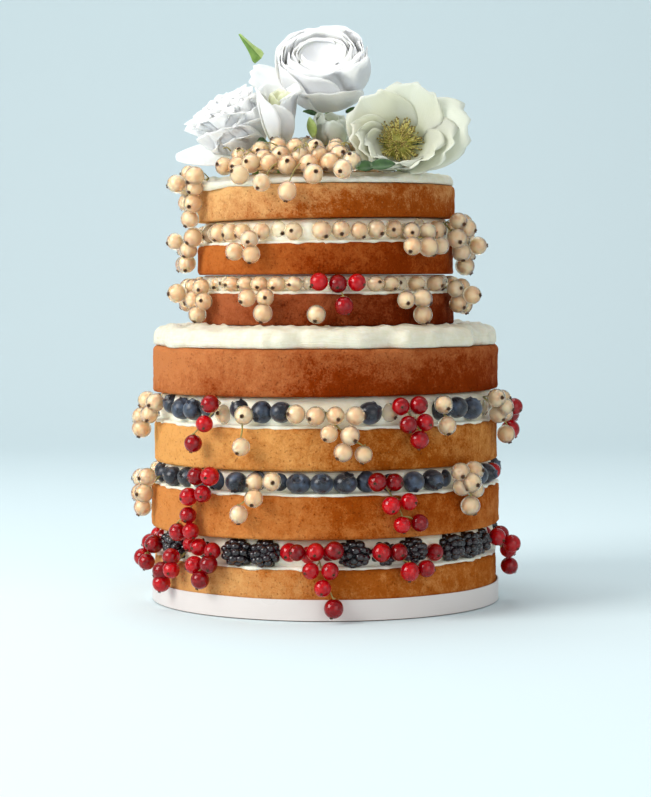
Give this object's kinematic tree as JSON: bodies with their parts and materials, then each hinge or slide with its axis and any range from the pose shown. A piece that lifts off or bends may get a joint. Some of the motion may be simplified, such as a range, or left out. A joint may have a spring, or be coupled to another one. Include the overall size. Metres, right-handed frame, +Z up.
{
  "type": "berry wedding cake",
  "caption": "Tiered bare-sided sponge cake with whipped cream and berries between its layers, bunches of currants hanging from them, white flowers on top and a satin ribbon round its foot.",
  "frame": {"origin": "middle of the underside of the lowest layer", "axes": "+Z up through both tiers; the front, as the picture shows it, faces -Y; +X to the picture's right"},
  "size_m": [0.2287, 0.2275, 0.3377],
  "materials": {
    "sponge_pale": "matt golden sponge with fine crumb",
    "sponge_brown": "matt browned sponge with fine crumb",
    "cream": "soft satin whipped cream",
    "red_currant": "glossy translucent skin",
    "white_currant": "glossy translucent skin",
    "petal": "matt petal",
    "leaf": "matt leaf",
    "satin": "satin weave"
  },
  "bodies": {
    "root": {"layer_1": "sponge_pale", "layer_2": "sponge_pale", "layer_3": "sponge_pale", "layer_4": "sponge_brown", "layer_5": "sponge_brown", "layer_6": "sponge_brown", "layer_7": "sponge_pale", "filling_1": "cream", "filling_2": "cream", "filling_3": "cream", "filling_5": "cream", "filling_6": "cream", "cream_4": "cream", "cream_7": "cream", "ribbon": "satin", "heap_currants": "white_currant", "flower_crown": "petal", "flower_ruffled": "petal", "flower_small": "petal", "flower_open": "petal", "leaf_sepal": "leaf", "bunch_1_1": "red_currant", "bunch_1_2": "red_currant", "bunch_1_3": "red_currant", "bunch_1_4": "red_currant", "bunch_1_5": "red_currant", "bunch_1_6": "red_currant", "bunch_1_7": "red_currant", "bunch_1_8": "red_currant", "bunch_2_1": "white_currant", "bunch_2_2": "red_currant", "bunch_2_3": "white_currant", "bunch_2_4": "red_currant", "bunch_2_5": "white_currant", "bunch_2_6": "white_currant", "bunch_2_7": "red_currant", "bunch_3_1": "white_currant", "bunch_3_2": "red_currant", "bunch_3_3": "white_currant", "bunch_3_4": "white_currant", "bunch_3_5": "red_currant", "bunch_3_6": "white_currant", "bunch_3_7": "red_currant", "bunch_3_8": "red_currant", "bunch_3_9": "white_currant", "bunch_3_10": "white_currant", "bunch_5_1": "white_currant", "bunch_5_2": "white_currant", "bunch_5_3": "red_currant", "bunch_5_4": "white_currant", "bunch_5_5": "white_currant", "bunch_5_6": "white_currant", "bunch_5_7": "white_currant", "bunch_5_8": "white_currant", "bunch_6_1": "white_currant", "bunch_6_2": "white_currant", "bunch_6_3": "white_currant", "bunch_6_4": "white_currant", "bunch_6_5": "white_currant", "bunch_7_1": "white_currant"}
  },
  "joints": []
}
